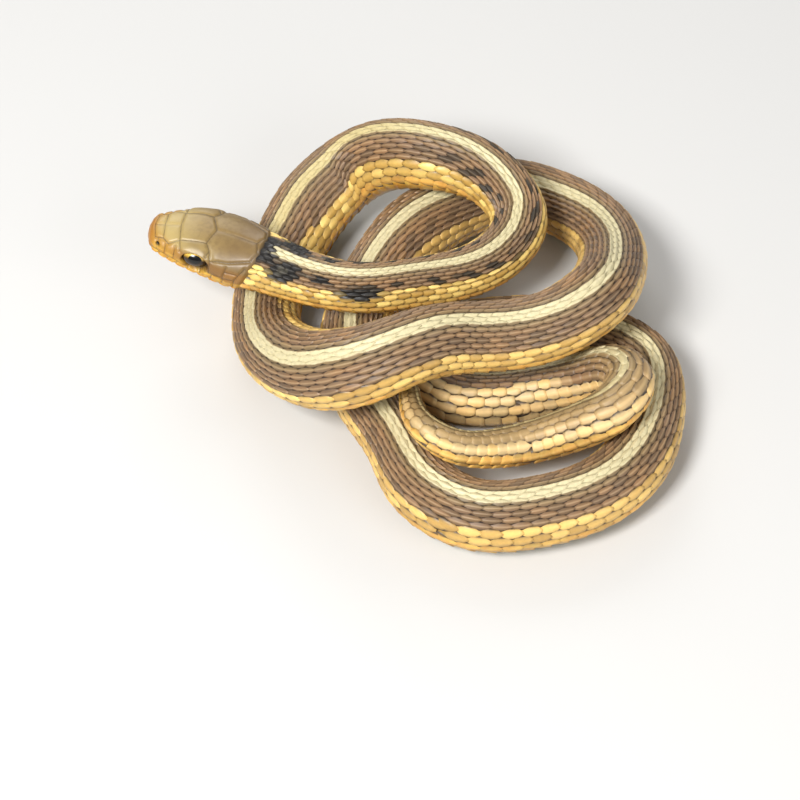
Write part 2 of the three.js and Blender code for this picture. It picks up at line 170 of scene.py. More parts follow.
# Spacing of the scale columns, and angle from the middle of the back to the belly edge in degrees
SPACING = [
    (22, 2.1), (45, 2.4), (100, 2.9), (150, 3.4), (500, 3.2), (560, 3.0), (610, 2.9),
    (650, 2.1), (684, 1.2),
]
BACK_REACH = [(0, 106), (505, 106), (555, 122), (600, 138), (684, 142)]
VENT = 523

# Where the small scales begin: at mid-height, further back on the crown and further forward below
COAT_START, CROWN_BACK, JAW_FORWARD = 22, 1.4, 1.8

# The skin sinks under them between two offsets from there, and their first roots lie under the shields
COAT_EASING = (-0.2, 1.2)
FIRST_COLUMN, HIDDEN_ROOT = 20.0, 0.9

# How far before the tip of the tail the columns, the roots and the scales themselves end
LAST_COLUMN, LAST_ROOT, LAST_SCALE = 2, 1, 0.1

# Roots lie below the body's surface, and the skin just below the roots
SCALE_DEPTH, SKIN_UNDER_ROOTS = 0.5, 0.1

# Length and width of scales and length of scutes, as multiples of their spacing
OVERLAP, SIDE_OVERLAP, LONGEST_SCALE = 1.55, 1.7, 3
SCUTE_OVERLAP, SCUTE_TUCK = 1.35, math.radians(5)

# How far lengths follow the stretch of a bend, and over what share of a spacing it is measured
SCALE_STRETCH, SCUTE_STRETCH = 0.75, 0.7
STRETCH_REACH, STRETCH_LIMITS = 0.6, (0.25, 3)

# Shape of a scale: heights in millimetres, and the roundness, bluntness and bow of its outline
KEELED = {"Keel": 0.22, "Arch": 0.16, "Lift": 0.4, "Skirt": 0.35, "Tip": 1.05, "Blunt": 0, "Bow": 0}
SMOOTH = {"Keel": 0.06, "Arch": 0.3, "Lift": 0.36, "Skirt": 0.35, "Tip": 0.78, "Blunt": 0.03, "Bow": 0}
TAIL = {"Keel": 0.1, "Arch": 0.12, "Lift": 0.28, "Skirt": 0.3, "Tip": 0.45, "Blunt": 0.2, "Bow": 0}
SCUTE = {"Keel": 0, "Arch": 0, "Lift": 0.4, "Skirt": 0.35, "Tip": 1, "Blunt": 1, "Bow": 0.3}
SCALE_GRID, SCUTE_GRID = (9, 8), (21, 6)
KEEL_CROWDING = 1.5
WIDEST, TAPER, TAPER_ROUND = 0.42, 0.6, 1.7
KEEL_HALF, KEEL_FROM, ARCH_FROM = (0.5, 0), (0, 0.3), (0, 0.5)
SKIRT_FROM = 0.99

# Bake maps: bands one above the other, lanes in a band, margins and the share of a patch that is used
BAKE_MAP = "OFBake"
SKIN_BANDS, SCALE_BANDS, SCUTE_BANDS = 3, 6, 12
SCALE_LANES = 23
MAP_MARGIN, BAND_MARGIN = 0.01, 0.02
PATCH_LONG, PATCH_WIDE = 0.9, 0.28


def column(table, distance, index=1):
    """A column of a table against its first column, with straight lines between its rows."""
    rows = np.array(table, float)
    return np.interp(distance, rows[:, 0], rows[:, index])


def smooth(value, low, high):
    """0 at low, 1 at high, with a soft start and end."""
    share = np.clip((value - low) / (high - low), 0, 1)
    return share * share * (3 - 2 * share)


def unit(vectors):
    return vectors / np.linalg.norm(vectors, axis=-1, keepdims=True)


def natural_spline(points):
    """Natural cubic spline with knots spaced by the root of the chord, and its last knot."""
    chords = np.linalg.norm(np.diff(points, axis=0), axis=1)
    knots = np.concatenate([[0], np.cumsum(np.sqrt(chords))])
    gaps = np.diff(knots)
    last = len(points) - 1
    matrix = np.eye(last + 1)
    right = np.zeros((last + 1, 3))
    for i in range(1, last):
        matrix[i, i - 1:i + 2] = gaps[i - 1], 2 * (gaps[i - 1] + gaps[i]), gaps[i]
        slope_before = (points[i] - points[i - 1]) / gaps[i - 1]
        slope_after = (points[i + 1] - points[i]) / gaps[i]
        right[i] = 6 * (slope_after - slope_before)
    bends = np.linalg.solve(matrix, right)

    def at(knot):
        i = np.clip(np.searchsorted(knots, knot) - 1, 0, last - 1)
        span = gaps[i][:, None]
        a = (knots[i + 1] - knot)[:, None] / span
        b = 1 - a
        cubic = (a ** 3 - a) * bends[i] + (b ** 3 - b) * bends[i + 1]
        return a * points[i] + b * points[i + 1] + cubic * span ** 2 / 6

    return at, knots[-1]


class Spine:
    """The centre line by distance from the snout, with the axes that the body is built on."""

    SLOPE_REACH = 0.2

    def __init__(self):
        spline, last_knot = natural_spline(np.array(ROUTE, float) + CENTRE_SHIFT)
        self.places = spline(np.linspace(0, last_knot, ROUTE_SAMPLES))
        steps = np.linalg.norm(np.diff(self.places, axis=0), axis=1)
        self.distances = np.concatenate([[0], np.cumsum(steps)])
        self.total = self.distances[-1]

    def at(self, distance):
        return np.stack([np.interp(distance, self.distances, self.places[:, k]) for k in range(3)], -1)

    def axes(self, distance):
        """Middle, direction to the tail, out of the back, and out of the left side."""
        distance = np.asarray(distance, float)
        near = np.clip(distance, self.SLOPE_REACH, self.total - self.SLOPE_REACH)
        along = unit(self.at(near + self.SLOPE_REACH) - self.at(near - self.SLOPE_REACH))
        level = unit(np.array([0, 0, 1.0]) - along * along[..., 2:])
        eased = np.mean([column(ROLL, distance + step) for step in ROLL_EASING], axis=0)
        roll = np.radians(eased)[..., None]
        back = level * np.cos(roll) + np.cross(along, level) * np.sin(roll)
        return self.at(distance), along, back, np.cross(along, back)


spine = Spine()


def section(distance, angle, swell):
    """Side and back offsets of the surface at an angle from the crown, swollen by an amount."""
    distance, angle = np.broadcast_arrays(np.asarray(distance, float), angle)
    across, upward = np.sin(angle), np.cos(angle)
    half_width, height, depth, crown, jaw = [
        column(HEAD_SECTIONS, distance, k) for k in range(HALF_WIDTH, JAW_ROUND + 1)]
    roundness = np.where(upward > 0, crown, jaw)
    reach = np.where(upward > 0, height, depth)
    head_side = np.sign(across) * np.abs(across) ** roundness * (half_width + swell)
    head_back = np.sign(upward) * np.abs(upward) ** roundness * (reach + swell)
    girth = column(GIRTH, distance) + swell
    body_back = upward * girth * np.where(upward > 0, 1, BELLY_DEPTH)
    on_head = distance < HEAD_LENGTH
    return np.where(on_head, head_side, across * girth), np.where(on_head, head_back, body_back)


def surface(distance, angle, swell=0.0):
    """Points of the snake's surface in millimetres."""
    side, back = section(distance, angle, swell)
    middle, _, up, left = spine.axes(np.broadcast_to(distance, side.shape))
    return middle + left * side[..., None] + up * back[..., None]


class Value:
    """A socket of a node tree. Operators on it add Math nodes."""

    def __init__(self, tree, socket):
        self.tree = tree
        self.socket = socket

    def math(self, operation, *others):
        return self.tree.add("ShaderNodeMath", {"operation": operation}, [self, *others])

    def step(self, low, high):
        """0 at low, 1 at high, with a soft start and end."""
        return self.tree.add("ShaderNodeMapRange", {"interpolation_type": "SMOOTHSTEP"},
                             {"Value": self, "From Min": low, "From Max": high})

    def between(self, rise, fall):
        """1 between two soft edges, 0 outside them."""
        return self.step(*rise) * self.step(*fall)

    def at_least(self, other):
        return self.math("MAXIMUM", other)

    def at_most(self, other):
        return self.math("MINIMUM", other)

    def __add__(self, other):
        return self.math("ADD", other)

    __radd__ = __add__

    def __sub__(self, other):
        return self.math("SUBTRACT", other)

    def __rsub__(self, other):
        return self.tree.add("ShaderNodeMath", {"operation": "SUBTRACT"}, [other, self])

    def __mul__(self, other):
        return self.math("MULTIPLY", other)

    __rmul__ = __mul__

    def __truediv__(self, other):
        return self.math("DIVIDE", other)

    def __pow__(self, other):
        return self.math("POWER", other)

    def __abs__(self):
        return self.math("ABSOLUTE")


class Tree:
    """A node tree with one way of adding nodes."""

    def __init__(self, tree):
        self.tree = tree

    def add(self, kind, settings=None, inputs=None, output=0):
        node = self.tree.nodes.new(kind)
        for name, value in (settings or {}).items():
            setattr(node, name, value)
        places = inputs.items() if isinstance(inputs, dict) else enumerate(inputs or [])
        for place, value in places:
            if isinstance(value, Value):
                self.tree.links.new(value.socket, node.inputs[place])
            else:
                node.inputs[place].default_value = value
        return Value(self, node.outputs[output]) if node.outputs else None

    def attribute(self, name):
        return self.add("ShaderNodeAttribute", {"attribute_name": name}, output="Fac")

    def blend(self, factor, first, second):
        """The first colour at factor 0, the second at factor 1."""
        return self.add("ShaderNodeMix", {"data_type": "RGBA"}, {0: factor, 6: first, 7: second}, 2)

    def noise(self, cells_per_metre):
        place = self.add("ShaderNodeTexCoord", output="Object")
        return self.add("ShaderNodeTexNoise", {}, {
            "Vector": place, "Scale": cells_per_metre, "Detail": 3.0})

    def bump(self, strength, height_mm, height):
        return self.add("ShaderNodeBump", {}, {
            "Strength": strength, "Distance": height_mm * MM, "Height": height})

    def oval(self, first, second, centre, half):
        """1 inside an oval in two coordinates, 0 outside."""
        a = (first - centre[0]) / half[0]
        b = (second - centre[1]) / half[1]
        return (a * a + b * b).step(*OVAL_EDGE)

    def finish(self, settings):
        shader = self.add("ShaderNodeBsdfPrincipled", {}, settings)
        self.add("ShaderNodeOutputMaterial", {}, {"Surface": shader})


def material(name):
    """An empty material and its tree."""
    made = bpy.data.materials.new(name)
    made.use_nodes = True
    made.node_tree.nodes.clear()
    return made, Tree(made.node_tree)


def colour(code):
    """Linear RGBA of a six-digit hexadecimal colour."""
    parts = [int(code[i:i + 2], 16) / 255 for i in (0, 2, 4)]
    return (*[c / 12.92 if c <= 0.04045 else ((c + 0.055) / 1.055) ** 2.4 for c in parts], 1.0)


# Colours of the body
CREAM = colour("e5d8ab")
STRIPE_EDGE = colour("5a4c30")
BROWN = colour("65462f")
WARM_BROWN = colour("785130")
OLIVE = colour("6d5936")
DARK_CHECK = colour("171214")
PURPLE = colour("321d1e")
YELLOW = colour("bd9236")
PALE_YELLOW = colour("d8bd6d")
ORANGE = colour("bd8632")
BELLY = colour("c8a24e")
GREY_BELLY = colour("b7b08d")
GAP = colour("211c1e")
# Pale tan of the painted highlights on keels and tips of scales
KEEL_HIGHLIGHT = colour("ccb488")
FLECK = colour("7d7867")
BLACK = colour("16171b")
TAIL_TAN = colour("b09262")
TAN_YELLOW = colour("b98e4a")
PALE_TAN = colour("cfb483")

# Colours of the head and eyes
CROWN_OLIVE = colour("8a7246")
CROWN_TAN = colour("97804f")
CROWN_SPECK = colour("6d5733")
SNOUT_TAN = colour("b9a266")
BACK_OF_HEAD = colour("6c5330")
CHEEK_LIGHT = colour("94692f")
CHEEK_DARK = colour("7c5a2e")
FRONT_CHEEK = colour("a87c30")
LIP_YELLOW = colour("c99f3c")
LIP_ORANGE = colour("b37f2c")
CHIN_YELLOW = colour("d0a23c")
CHIN_ORANGE = colour("c07f2b")
SNOUT_ORANGE = colour("a0661f")
SEAM_BROWN = colour("34291a")
# Painted shade in the eye openings and nostrils
HOLLOW_SHADE_BROWN = colour("120d08")
IRIS_DARK = colour("22160c")
IRIS_BROWN = colour("38250f")
IRIS_GOLD = colour("dcb04a")
PUPIL_BLACK = colour("030202")
EYE_RIM = colour("0c0906")

# Grain of the skin and scales, in cells to the metre
BROAD_GRAIN, HEAD_GRAIN, FINE_GRAIN = 90.0, 160.0, 420.0
SCUTE_GRAIN, FINE_HEAD_GRAIN, SCALE_GRAIN = 700.0, 900.0, 1500.0
IRIS_GRAIN, SHIELD_GRAIN = 2200.0, 2600.0

# Soft edges in the grain, by how patchy the result is
SPECKS, CRISP_PATCHES, PATCHES, SOFT_PATCHES = (0.56, 0.7), (0.35, 0.65), (0.3, 0.7), (0.25, 0.75)

# Where markings start, change and end, in millimetres from the snout
STRIPE_START = (24.2, 25.6)
NAPE = (28.5, 25)
CHECKS_START, CHECKS_FADE = (33, 45), (125, 92)
DULL_STRIPE = ((100, 122), (172, 158))
NECK_YELLOW, THROAT_YELLOW, BEND_YELLOW = (95, 60), (30.5, 27), ((146, 150), (182, 172))
YELLOW_DROPS, YELLOW_TANS, YELLOW_PALES = (560, 600), (130, 260), (515, 550)
PALE_BELLY = ((505, 540), (602, 588))
TAIL_TONE = (585, 608)
DARK_RIMS = (510, 540)

# Edges of the markings in scale rows from the middle of the back
STRIPE_HALF, STRIPE_BORDER, TAIL_STRIPE_LOSS = (1.14, 0.98), (2.6, 1.4), 0.75
OLIVE_ROWS, CHECK_ROWS, NAPE_ROWS, PALE_TAIL_ROWS = (3.2, 1.2), (1.8, 2.4), (4.5, 3), (3.2, 2.4)

# Edges of the markings in scale rows from the belly edge
YELLOW_TOP, BELLY_TOP, CHECK_SIDES = (2.6, 2.35), (0.75, 0.35), ((2.6, 2.9), (5.6, 5.2))

# Wave of the checks in radians per millimetre along and per row, its soft edge, and its unevenness
CHECK_ALONG, CHECK_ACROSS, CHECK_EDGE = 0.95, 2.2, (0.1, 0.5)
CHANCE_UNEVEN, BROAD_UNEVEN, FAINT_CHECKS = 0.6, 2.4, 0.35

# Neck blotches: middle and half size, in millimetres and rows. The large one's axes are slanted
LEANING_BLOTCH, BLOTCH_SLANT = ((31.6, -3.3), (3.6, 3.2)), (0.8, 0.25)
NECK_BLOTCHES = [((43, 5.8), (3.8, 1.5)), ((36, 3.2), (2.2, 1.1))]
OVAL_EDGE = (1.25, 0.6)

# Painted highlights on a scale's keel, middle and tip, and its dark rims: soft edges across it, from
# its middle, and along it, from its root
KEEL_ACROSS, KEEL_ALONG = (0.2, 0.02), (0.2, 0.6)
SHEEN_ACROSS, SHEEN_ALONG = (0.6, 0.05), (0.3, 0.8)
TIP_ALONG, TAPER_ALONG, ROOT_ALONG = (0.84, 1.0), (0.92, 0.4), (0.42, 0.15)
RIM_ACROSS = (0.5, 0.88)

# Edges of the head's colours: from the snout, above the head's axis, above the mouth, and from a seam
SNOUT_TIP, PALE_SNOUT, PALE_CHEEK, DARK_CROWN = (2.0, 0.4), (13, 3), (9, 4), (11, 20)
CHEEK_TOP, LIP_EDGE, MOUTH_EDGE = (2.9, 1.9), (2.4, 1.6), (0.1, -0.1)
HEAD_END, SEAMS_END, SEAM_LINE = (23.2, 24.6), (24.5, 23), (0.17, 0.04)

# Edges of the eye's colours, from the middle of the pupil, and of the gold towards the upper edge
PUPIL_EDGE, EYE_RIM_EDGE, GOLD_EDGE = (0.5, 0.45), (0.78, 0.9), (-0.1, 0.4)


class Place:
    """Where a point lies on the snake, as values that its markings are worked out from."""

    def __init__(self, tree, row, side, distance, chance):
        self.row = row
        self.side = side
        self.distance = distance
        self.chance = chance
        self.broad = tree.noise(BROAD_GRAIN)
        self.fine = tree.noise(FINE_GRAIN)
        self.on_tail = distance.step(*TAIL_TONE)
        self.stripe_row = row + self.on_tail * TAIL_STRIPE_LOSS


def dark_checks(at):
    """Dark squares between the stripe and the yellow rows, strongest on the neck."""
    wave = (at.distance * CHECK_ALONG + at.side * CHECK_ACROSS).math("SINE")
    wave = wave + (at.chance - 0.5) * CHANCE_UNEVEN + (at.broad - 0.5) * BROAD_UNEVEN
    checks = wave.step(*CHECK_EDGE) * at.row.step(*CHECK_ROWS) * at.side.between(*CHECK_SIDES)
    strength = at.distance.step(*CHECKS_FADE).at_least(FAINT_CHECKS)
    return checks * strength * at.distance.step(*CHECKS_START)


def brown_flank(tree, at, checks):
    """Brown that varies from scale to scale, olive beside the stripe and tan on the tail."""
    flank = tree.blend(at.broad.step(*CRISP_PATCHES), BROWN, WARM_BROWN)
    flank = tree.blend(at.row.step(*OLIVE_ROWS) * 0.55, flank, OLIVE)
    flank = tree.blend(at.chance.step(0.5, 0.9) * 0.55, flank, PURPLE)
    flank = tree.blend(checks, flank, DARK_CHECK)
    return tree.blend(at.on_tail * 0.9, flank, TAIL_TAN)


def yellow_rows(tree, at, pale):
    """Yellow beside the belly, duller along the body and paler towards the tail."""
    lateral = tree.blend(at.chance, YELLOW, PALE_YELLOW)
    lateral = tree.blend(at.fine.step(0.3, 0.8) * 0.3, lateral, ORANGE)
    lateral = tree.blend(at.distance.step(*YELLOW_TANS) * 0.5, lateral, TAN_YELLOW)
    return tree.blend(at.distance.step(*YELLOW_PALES) * 0.75, lateral, pale)


def yellow_rise(at):
    """How many rows higher than elsewhere the yellow reaches."""
    rise = at.distance.step(*NECK_YELLOW) * 0.75 + at.distance.step(*THROAT_YELLOW) * 0.9
    rise = rise + at.distance.between(*BEND_YELLOW) * 0.85
    return rise - at.distance.step(*YELLOW_DROPS) * 0.9


def back_stripe(at):
    return (at.stripe_row + (at.fine - 0.5) * 0.5).step(*STRIPE_HALF) * at.distance.step(*STRIPE_START)


def neck_blotches(tree, at, stripe):
    """Black behind the head, and in ovals down the sides of the neck."""
    along, across = BLOTCH_SLANT
    slanted = (at.distance + at.row * along, at.row - at.distance * across)
    blotches = tree.oval(*slanted, *LEANING_BLOTCH)
    for centre, half in NECK_BLOTCHES:
        blotches = blotches.at_least(tree.oval(at.distance, at.row, centre, half))
    nape = at.distance.step(*NAPE) * at.row.step(*NAPE_ROWS) * (1 - stripe)
    return blotches.at_least(nape) * (at.fine + at.chance * 0.2).step(0.12, 0.3)


def markings(tree, at):
    """Colour of the body at a place, and how evenly it is coloured there, from 0 to 1."""
    checks = dark_checks(at)
    stripe = back_stripe(at)
    blotches = neck_blotches(tree, at, stripe)
    pale = tree.blend(at.chance.step(0.4, 1.0) * 0.6, PALE_TAN, TAN_YELLOW)
    above_yellow = (at.side - yellow_rise(at)).step(*YELLOW_TOP)
    result = tree.blend(above_yellow, brown_flank(tree, at, checks), yellow_rows(tree, at, pale))
    lower = tree.blend(at.fine.step(*SOFT_PATCHES), BELLY, ORANGE)
    lower = tree.blend(at.distance.between(*PALE_BELLY) * 0.7, lower, pale)
    result = tree.blend(at.side.step(*BELLY_TOP), result, lower)
    result = tree.blend(at.stripe_row.step(*STRIPE_BORDER) * 0.5, result, STRIPE_EDGE)
    dull = at.distance.between(*DULL_STRIPE) * 0.45 + at.on_tail * 0.4
    result = tree.blend(stripe * (1 - at.on_tail * 0.3), result, tree.blend(dull, CREAM, PALE_YELLOW))
    black = tree.blend(at.fine.step(*SPECKS) * 0.35, BLACK, FLECK)
    result = tree.blend(blotches, result, black)
    calm = stripe.at_least(at.on_tail * at.row.step(*PALE_TAIL_ROWS) * 0.7)
    return result, calm.at_least(blotches * 0.9).at_least(checks * 0.7)


def scale_material(name, keel_light, gloss):
    """Keeled or smooth scales: painted highlights along the keel, middle and tip, painted shade towards
    the root, and dark at the root and edges.
    """
    made, tree = material(name)
    cross = tree.attribute("cross")
    reach = tree.attribute("reach")
    chance = tree.attribute("chance")
    distance = tree.attribute("distance")
    row = abs(tree.attribute("row") - cross * (SIDE_OVERLAP / 2))
    base, calm = markings(tree, Place(tree, row, tree.attribute("side"), distance, chance))
    grain = tree.noise(SCALE_GRAIN)
    # Painted highlights: keel, sheen and tip. Reach adds painted shade towards the root and painted
    # light towards the tip, and chance is each scale's own tone
    keel = abs(cross).step(*KEEL_ACROSS) * reach.step(*KEEL_ALONG) * keel_light
    sheen = abs(cross).step(*SHEEN_ACROSS) * reach.step(*SHEEN_ALONG)
    tip = reach.step(*TIP_ALONG)
    light = (chance - 0.5) * 0.65 + keel * 0.45 + sheen * 0.25 + tip * 0.3 + reach * 0.2 - 0.3
    brightness = 0.76 + light * (1 - calm) + (grain - 0.5) * 0.4
    shade = tree.add("ShaderNodeHueSaturation", {}, {"Value": brightness, "Color": base})
    # Painted highlight: keel and tip mixed towards a pale tan
    lit = tree.blend((keel + tip * 0.5) * 0.3 * (1 - calm), shade, KEEL_HIGHLIGHT)
    edge = abs(cross) + reach.step(*TAPER_ALONG) * 0.36 + distance.step(*DARK_RIMS) * 0.08
    rim = edge.step(*RIM_ACROSS).at_least(reach.step(*ROOT_ALONG))
    tree.finish({
        "Base Color": tree.blend(rim * (0.9 - calm * 0.7), lit, GAP),
        "Roughness": 0.42 + grain * 0.16 - gloss,
        "Specular IOR Level": 0.45,
        "Normal": tree.bump(0.25, 0.12, grain)})
    return made


def scute_material():
    """Belly scutes: yellow at the sides, greyer in the middle, dark at the root."""
    made, tree = material("belly_scutes")
    grain = tree.noise(SCUTE_GRAIN)
    base = tree.blend(grain.step(*PATCHES), BELLY, ORANGE)
    base = tree.blend(abs(tree.attribute("cross")).step(0.75, 0.3), base, GREY_BELLY)
    tree.finish({
        "Base Color": tree.blend(tree.attribute("reach").step(0.12, 0.0) * 0.6, base, GAP),
        "Roughness": 0.34 + grain * 0.1,
        "Normal": tree.bump(0.2, 0.1, grain)})
    return made


def head_colour(tree, distance, broad, fine):
    """Olive-tan crown, brown cheeks, and yellow lips and chin."""
    mouth = tree.attribute("mouth")
    crown = tree.blend(broad.step(*PATCHES), CROWN_OLIVE, CROWN_TAN)
    crown = tree.blend(fine.step(0.4, 0.7) * 0.45, crown, CROWN_SPECK)
    crown = tree.blend(distance.step(*PALE_SNOUT) * 0.75, crown, SNOUT_TAN)
    crown = tree.blend(distance.step(*DARK_CROWN) * 0.7, crown, BACK_OF_HEAD)
    cheek = tree.blend(broad.step(*CRISP_PATCHES), CHEEK_LIGHT, CHEEK_DARK)
    cheek = tree.blend(distance.step(*PALE_CHEEK), cheek, FRONT_CHEEK)
    lip = tree.blend(fine.step(*PATCHES), LIP_YELLOW, LIP_ORANGE)
    chin = tree.blend(fine.step(*PATCHES), CHIN_YELLOW, CHIN_ORANGE)
    head = tree.blend(tree.attribute("rise").step(*CHEEK_TOP), crown, cheek)
    head = tree.blend(mouth.step(*LIP_EDGE), head, lip)
    head = tree.blend(mouth.step(*MOUTH_EDGE), head, chin)
    return tree.blend(distance.step(*SNOUT_TIP) * 0.75, head, SNOUT_ORANGE)


def skin_material():
    """Head shields, lips and the skin that shows between the scales."""
    made, tree = material("skin")
    seam = tree.attribute("seam")
    distance = tree.attribute("distance")
    broad = tree.noise(HEAD_GRAIN)
    fine = tree.noise(FINE_HEAD_GRAIN)
    head = head_colour(tree, distance, broad, fine)
    bare, calm = markings(
        tree, Place(tree, tree.attribute("row"), tree.attribute("side"), distance, broad))
    body = tree.blend(0.85 - calm * 0.65, bare, GAP)
    base = tree.blend(distance.step(*HEAD_END), head, body)
    line = seam.step(*SEAM_LINE) * distance.step(*SEAMS_END)
    base = tree.blend(line * 0.62, base, SEAM_BROWN)
    height = seam.step(0.0, SEAM_WIDTH) + tree.noise(SHIELD_GRAIN) * 0.1
    tree.finish({
        # Painted shade darkens the eye openings and nostrils
        "Base Color": tree.blend(tree.attribute("hollow_shade"), base, HOLLOW_SHADE_BROWN),
        "Roughness": 0.36 + fine * 0.12,
        "Normal": tree.bump(0.5, 0.1, height)})
    return made


def eye_material():
    """Round pupil in a dark iris with a golden upper edge, under a wet, clear spectacle."""
    made, tree = material("eye")
    ring = tree.attribute("ring")
    iris = tree.blend(tree.noise(IRIS_GRAIN).step(*CRISP_PATCHES), IRIS_DARK, IRIS_BROWN)
    iris = tree.blend(tree.attribute("height").step(*GOLD_EDGE), iris, IRIS_GOLD)
    base = tree.blend(ring.step(*PUPIL_EDGE), iris, PUPIL_BLACK)
    tree.finish({
        "Base Color": tree.blend(ring.step(*EYE_RIM_EDGE), base, EYE_RIM),
        "Roughness": 0.2, "Coat Weight": 0.05, "Coat Roughness": 0.06})
    return made


def floor_material():
    made, tree = material("floor")
    tree.finish({"Base Color": (0.6, 0.59, 0.57, 1), "Roughness": 0.8})
    return made


def write(mesh, name, values, kind="FLOAT"):
    """Stores numbers or vectors on a mesh's vertices."""
    data = mesh.attributes.new(name, kind, "POINT").data
    data.foreach_set("value" if kind == "FLOAT" else "vector", np.asarray(values, np.float32).ravel())


def read(mesh, name, width):
    """Numbers or vectors stored on a mesh's vertices."""
    values = np.zeros(len(mesh.vertices) * width, np.float32)
    mesh.attributes[name].data.foreach_get("vector" if width == 3 else "value", values)
    return values.reshape(-1, width)


def corner_vertices(mesh):
    """The vertex of every face corner."""
    corners = np.zeros(len(mesh.loops), int)
    mesh.loops.foreach_get("vertex_index", corners)
    return corners


def write_map(mesh, places):
    layer = mesh.uv_layers.new(name=BAKE_MAP)
    layer.data.foreach_set("uv", places.astype(np.float32).ravel())


def mesh_object(name, points, faces, attributes, surface_material):
    """A smooth mesh object from points in millimetres, with numbers stored on its vertices."""
    mesh = bpy.data.meshes.new(name)
    mesh.from_pydata((np.asarray(points) * MM).tolist(), [], faces)
    for key, values in attributes.items():
        write(mesh, key, values)
    mesh.polygons.foreach_set("use_smooth", [True] * len(mesh.polygons))
    if surface_material:
        mesh.materials.append(surface_material)
    made = bpy.data.objects.new(name, mesh)
    bpy.context.scene.collection.objects.link(made)
    return made


def rows_each_side(distance):
    starts = np.array([start for start, _ in ROW_COUNTS])
    counts = np.array([count for _, count in ROW_COUNTS])
    return counts[np.searchsorted(starts, distance, side="right") - 1]


def back_reach(distance):
    """Angle from the middle of the back to the belly edge."""
    return np.radians(column(BACK_REACH, distance))


def row_shares(count):
    """Widths of the rows from the back to the belly edge, as shares of that arc.

    Only half of the middle row lies on one side.
    """
    units = np.ones(count + 1)
    for k, width in enumerate(ROW_WIDTHS[:count]):
        units[count - k] = width
    units[0] = 0.5
    return units / units.sum()


def row_middle(count, row):
    """Share of the arc between the middle of the back and the middle of a row."""
    shares = row_shares(count)
    return 0.0 if row == 0 else shares[:row].sum() + shares[row] / 2


def row_place(distance, angle):
    """Scale rows from the middle of the back, and from the belly edge, at an angle."""
    turn = np.abs((np.asarray(angle) + np.pi) % FULL_TURN - np.pi) / back_reach(distance)
    count = rows_each_side(distance)
    row = np.zeros(turn.shape)
    for number in np.unique(count):
        edges = np.concatenate([[0], np.cumsum(row_shares(number))])
        places = np.concatenate([[0], np.arange(number + 1) + 0.5])
        spread = np.interp(turn, edges, places)
        spread = spread + np.maximum(turn - 1, 0) / row_shares(number)[-1]
        row = np.where(count == number, spread, row)
    return row, count - row


def mouth_height(distance):
    return column(MOUTH_LINE, distance)


def crown_angle(distance, side):
    """Angle from the crown of a place that lies a distance to the side of the head's middle."""
    half_width = column(HEAD_SECTIONS, distance, HALF_WIDTH)
    roundness = column(HEAD_SECTIONS, distance, CROWN_ROUND)
    return np.arcsin(np.clip(np.abs(side) / half_width, 0, 1) ** (1 / roundness))


def cheek_angle(distance, back):
    """Angle from the crown of a place on the cheek, by its height from the head's axis."""
    height, depth = [column(HEAD_SECTIONS, distance, k) for k in (HEIGHT, DEPTH)]
    crown, jaw = [column(HEAD_SECTIONS, distance, k) for k in (CROWN_ROUND, JAW_ROUND)]
    above = np.arccos(np.clip(np.abs(back) / height, 0, 1) ** (1 / crown))
    below = np.pi - np.arccos(np.clip(np.abs(back) / depth, 0, 1) ** (1 / jaw))
    return np.where(back > 0, above, below)


def dense(outline):
    """Close points along the straight lines of an outline, as distances and offsets."""
    outline = np.array(outline, float)
    parts = []
    for first, second in zip(outline[:-1], outline[1:]):
        count = max(2, int(np.linalg.norm(second - first) / SEAM_STEP))
        parts.append(first + (second - first) * np.linspace(0, 1, count)[:, None])
    return np.concatenate(parts).T


def lip_seams():
    """Top edge of the upper lip, joints of both lips and lower edge of the lower lip."""
    def low(u):
        return mouth_height(u) - LOWER_LIP_DEPTH

    upper = [[(u, mouth_height(u)), (u, column(LIP_TOP, u))] for u in UPPER_LIP_JOINTS]
    lower = [[(u, mouth_height(u)), (u, low(u))] for u in LOWER_LIP_JOINTS]
    return [LIP_TOP, *upper, *lower, [(u, low(u)) for u in LOWER_LIP_JOINTS]]


def seam_points():
    """Points of every shield seam, and of the mouth line, on the head's surface."""
    curves = []
    for outline in TOP_SEAMS:
        distance, side = dense(outline)
        curves.append((distance, crown_angle(distance, side)))
    for outline in SIDE_SEAMS + lip_seams():
        distance, back = dense(outline)
        curves.append((distance, cheek_angle(distance, back)))
    for outline in CHIN_SEAMS:
        distance, side = dense(outline)
        curves.append((distance, np.pi - crown_angle(distance, side)))
    stops = np.arange(MOUTH_START, MOUTH_END, MOUTH_STEP)
    distance, back = dense([(stop, mouth_height(stop)) for stop in stops])
    mouth = (distance, cheek_angle(distance, back))

    def on_both_sides(lines):
        return np.concatenate([surface(u, sign * angle) for u, angle in lines for sign in (1, -1)])

    return on_both_sides([*curves, mouth]), on_both_sides([mouth])


def nearest(points, targets):
    """Distance of each point from the nearest target."""
    tree = KDTree(len(targets))
    for i, place in enumerate(targets):
        tree.insert(place, i)
    tree.balance()
    return np.array([tree.find(place)[2] for place in points])


def coat_start(angle):
    """Distance from the snout where the small scales begin."""
    upward = np.cos(angle)
    return COAT_START + upward * np.where(upward > 0, CROWN_BACK, JAW_FORWARD)


def oval_reach(points, shape, sign, endless=False):
    """Reach of points from an oval ball's middle, below 1 inside it, on one side of the head.

    An endless oval runs straight on out of the side of the head and into it.
    """
    middle, along, back, left = spine.axes(shape["distance"])
    away = points - (middle + left * sign * shape["side"] + back * shape["back"])
    reach = (away @ along / shape["long"]) ** 2 + (away @ back / shape["high"]) ** 2
    if not endless:
        reach += (away @ left / shape["deep"]) ** 2
    return np.where((points - middle) @ left * sign > MIDDLE_OF_HEAD, reach ** 0.5, FAR)


